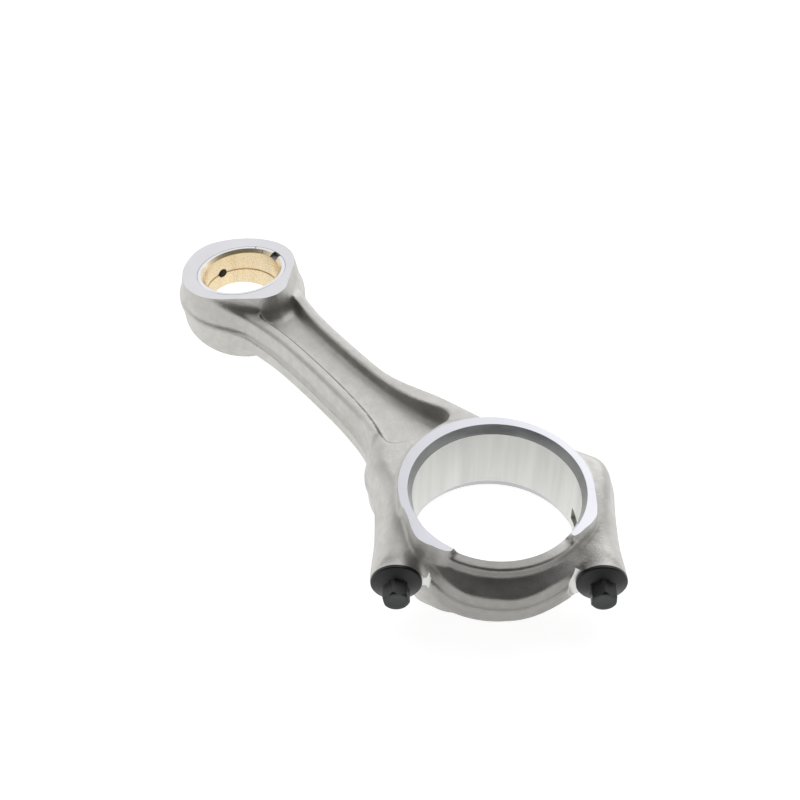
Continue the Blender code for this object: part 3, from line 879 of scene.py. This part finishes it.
def bolt_radius(s, theta):
    """Radius of the bolt at height s above the parting line, in the direction theta."""
    phase = np.mod(s / THREAD_PITCH - theta / math.tau, 1.0)
    tooth = np.clip(np.abs(phase - 0.5) * 2.9 - 0.22, 0, 1)
    thread = BOLT_R - 0.78 * tooth
    run_out = np.clip((s + 5.2) / 1.2, 0, 1)
    lead = np.clip((s - BOLT_TIP) / 1.3, 0, 1)
    thread = np.minimum(thread, 4.3 + 1.25 * lead)
    thread = thread * (1 - run_out) + 4.75 * run_out
    plain = np.interp(s, *zip(*BOLT_PROFILE))
    radius = np.where(s < -4, thread, plain)
    wedge = np.abs(np.mod(theta, math.pi / 3) - math.pi / 6)
    hexagon = 5.2 / np.cos(wedge)
    hexagon = smooth_min(hexagon, np.full_like(hexagon, 6.05), 0.25)
    crown = 6.1 - np.clip(s - 44.3, 0, 2) * 0.9
    hexagon = np.minimum(hexagon, crown)
    return np.where(s > 36.0, np.maximum(radius, hexagon), radius)


def flanged_bolt(name, side, twist):
    """Bolt on one side of the cap, with its hexagon turned by twist."""
    rows = np.concatenate([
        np.arange(BOLT_TIP, -4, 0.125), [-4, -2, 10, 29.5, 30.5, 33.7, 33.95],
        [34.001, 34.1, 34.35, 34.9, 35.5, 35.7, 35.9, 36.1, 36.3, 36.5, 36.75, 37.0, 37.25, 37.5,
         37.75, 38.0, 38.5, 40, 42, 43.8], np.arange(44.0, 45.2, 0.1), [45.2, 45.3]])
    segments = 96
    theta = np.arange(segments) * math.tau / segments
    verts = []
    frame_x = Vector((0, 0, 1))
    for s in rows:
        for r, t in zip(bolt_radius(np.full(segments, s), theta - twist), theta):
            around = frame_x * math.cos(t) + SIDE * math.sin(t)
            verts.append(SIDE * side * BOLT_OFFSET + PULL * s + around * r)
    faces = []
    for row in range(len(rows) - 1):
        for i in range(segments):
            j = (i + 1) % segments
            a = row * segments
            faces.append((a + i, a + j, a + segments + j, a + segments + i))
    last = (len(rows) - 1) * segments
    for inset, rise in HEAD_END:
        start = len(verts)
        previous = start - segments
        for i in range(segments):
            point = verts[last + i] - SIDE * side * BOLT_OFFSET
            axial = PULL * (HEAD_TOP + rise)
            verts.append(SIDE * side * BOLT_OFFSET + axial + (point - PULL * point.dot(PULL))
                         * inset)
        for i in range(segments):
            j = (i + 1) % segments
            faces.append((previous + i, previous + j, start + j, start + i))
    faces.append(tuple(range(len(verts) - segments, len(verts))))
    faces.append(tuple(reversed(range(segments))))
    obj = mesh_object(name, verts, faces)

    def end_face(p, n):
        return split_coords(p)[0] > HEAD_TOP - 0.2
    return finish_piece(obj, BOLT_SKIN, [(BOLT_END, end_face)], 28)


bolt_near = flanged_bolt("flanged_bolt_near", 1, math.radians(15))
bolt_far = flanged_bolt("flanged_bolt_far", -1, 0.0)


# ------------------------------------------------------------------ bush

def make_bush():
    """Bush whose ends follow the eye's tapered faces, with groove, oil hole and notch."""
    segments = 224
    outer = BUSH_R - 0.02
    chamfer = 0.2
    depth = 1.6
    # radius and distance from the end face, then radius and distance from the mid-plane
    mouth = [(outer, -chamfer), (outer - chamfer, 0), (BUSH_MOUTH_R + 0.1, 0),
             (BUSH_MOUTH_R, -0.04), (BUSH_BORE_R + 0.1, -depth + 0.03),
             (BUSH_BORE_R, -depth - 0.1)]
    wall = [(BUSH_BORE_R, 8), (BUSH_BORE_R, 5), (BUSH_BORE_R, 2.5), (BUSH_BORE_R, 0.75),
            (BUSH_BORE_R + 0.1, 0.6), (BUSH_BORE_R + 0.5, 0.5)]
    half = [(r, True, d) for r, d in mouth] + [(r, False, d) for r, d in wall]
    rows = [(*row, 1) for row in half] + [(*row, -1) for row in half[::-1]]
    verts = []
    for r, from_face, d, sign in rows:
        for i in range(segments):
            a = math.tau * i / segments
            x, y = r * math.cos(a), r * math.sin(a)
            face = EYE_TOP if sign > 0 else EYE_BOTTOM
            z = face + EYE_SLOPE * x + d if from_face else d - MID_DROP * sign
            verts.append((EYE_X + x, y, sign * z))
    faces = []
    count = len(rows)
    for k in range(count):
        m = (k + 1) % count
        for i in range(segments):
            j = (i + 1) % segments
            faces.append((k * segments + i, k * segments + j, m * segments + j, m * segments + i))
    obj = mesh_object("lined_bush", verts, faces)
    boolean(obj, oil_drill())
    notch_lo, notch_hi, notch_floor = -2.0, 3.5, 11.4
    boolean(obj, box_cutter("notch", (EYE_X + notch_lo, 18.3, notch_floor),
                            (EYE_X + notch_hi, 24.0, 20.0)))

    def steel(p, n):
        r = np.hypot(p[:, 0] - EYE_X, p[:, 1])
        return r > BUSH_MOUTH_R - 0.02

    def cut_wall(p, n):
        x = p[:, 0] - EYE_X
        oil = (x < -15) & (np.hypot(p[:, 1], p[:, 2] + MID_DROP) < OIL_HOLE_R + 0.05)
        notch = (p[:, 1] > 17) & ((np.abs(x - notch_lo) < 0.03) | (np.abs(x - notch_hi) < 0.03)
                                  | (np.abs(p[:, 2] - notch_floor) < 0.03))
        return oil | notch
    return finish_piece(obj, BRONZE, [(BUSH_STEEL, steel), (DRILLED, cut_wall)], 25)


bush = make_bush()

# ------------------------------------------------------------------ which piece is what

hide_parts("rod_body")
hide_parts("bearing_cap")
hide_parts("cap_bolt_near")
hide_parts("cap_bolt_far")
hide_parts("small_end_bush")
for piece, body, slot in ((rod, "rod", "forged_steel"), (cap, "cap", "cap_steel"),
                          (bolt_near, "bolt_near", "bolt_black"),
                          (bolt_far, "bolt_far", "bolt_black"), (bush, "rod", "bush_bronze")):
    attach(piece, body)

# ------------------------------------------------------------------ floor, light and camera

floor_mesh = bpy.data.meshes.new("floor")
floor_mesh.from_pydata([(-6, -6, 0), (6, -6, 0), (6, 6, 0), (-6, 6, 0)], [], [(0, 1, 2, 3)])
floor = bpy.data.objects.new("floor", floor_mesh)
bpy.context.collection.objects.link(floor)
floor_shade = Shade("floor_paper", 0.9, 0.0)
floor_grain = floor_shade.noise(3.0, 2.0)
floor_shade.link("Base Color", floor_shade.ramp(floor_grain, (0.3, (0.38, 0.38, 0.38)),
                                                (0.7, (0.40, 0.40, 0.40))))
floor_shade.shader.inputs["Emission Color"].default_value = (1, 1, 1, 1)
floor_shade.shader.inputs["Emission Strength"].default_value = 0.9
floor_mesh.materials.append(floor_shade.mat)

world = bpy.data.worlds.new("studio")
world.use_nodes = True
sky = world.node_tree
background = sky.nodes["Background"]
background.inputs["Strength"].default_value = 1.08
direction = sky.nodes.new("ShaderNodeTexCoord").outputs["Generated"]
lean = sky.nodes.new("ShaderNodeVectorMath")
lean.operation = 'DOT_PRODUCT'
dark_side = Vector((0.65, -0.52, 0.56)).normalized()   # the studio is dark in this direction
lean.inputs[1].default_value = dark_side
sky.links.new(direction, lean.inputs[0])
fall = sky.nodes.new("ShaderNodeMapRange")
fall.interpolation_type = 'SMOOTHSTEP'
fall.inputs["From Min"].default_value = -0.30
fall.inputs["From Max"].default_value = 0.72
sky.links.new(lean.outputs["Value"], fall.inputs["Value"])
tint = sky.nodes.new("ShaderNodeValToRGB")
tint.color_ramp.elements[0].color = (1.0, 1.0, 1.02, 1)
tint.color_ramp.elements[1].color = (0.05, 0.05, 0.048, 1)
sky.links.new(fall.outputs["Result"], tint.inputs["Fac"])
sky.links.new(tint.outputs["Color"], background.inputs["Color"])
bpy.context.scene.world = world


def softbox(name, location, target, size, power):
    data = bpy.data.lights.new(name, 'AREA')
    data.shape = 'RECTANGLE'
    data.size, data.size_y = size
    data.energy = power
    light = bpy.data.objects.new(name, data)
    light.location = location
    aim = Vector(target) - Vector(location)
    light.rotation_euler = aim.to_track_quat('-Z', 'Y').to_euler()
    bpy.context.collection.objects.link(light)


softbox("key", (-1.0, -0.7, 0.8), (0, 0, 0), (1.0, 1.0), 0.8)
softbox("back", (-0.35, 1.0, 1.1), (0, 0, 0), (1.0, 1.0), 4.0)

camera_data = bpy.data.cameras.new("camera")
camera_data.sensor_width = 36
camera_data.lens = 64.42
camera_data.clip_start = 0.01
camera = bpy.data.objects.new("camera", camera_data)
camera.location = CENTRE + Vector((0.29223, -0.28962, 0.47738))
azimuth = math.radians(51.115)
elevation = math.radians(44.677)
aim = Vector((-math.sin(azimuth) * math.cos(elevation), math.cos(azimuth) * math.cos(elevation),
              -math.sin(elevation)))
roll = Matrix.Rotation(math.radians(0.481), 3, 'Z')
camera.rotation_euler = (aim.to_track_quat('-Z', 'Y').to_matrix() @ roll).to_euler()
bpy.context.collection.objects.link(camera)
bpy.context.scene.camera = camera
bpy.context.scene.view_settings.view_transform = 'Standard'
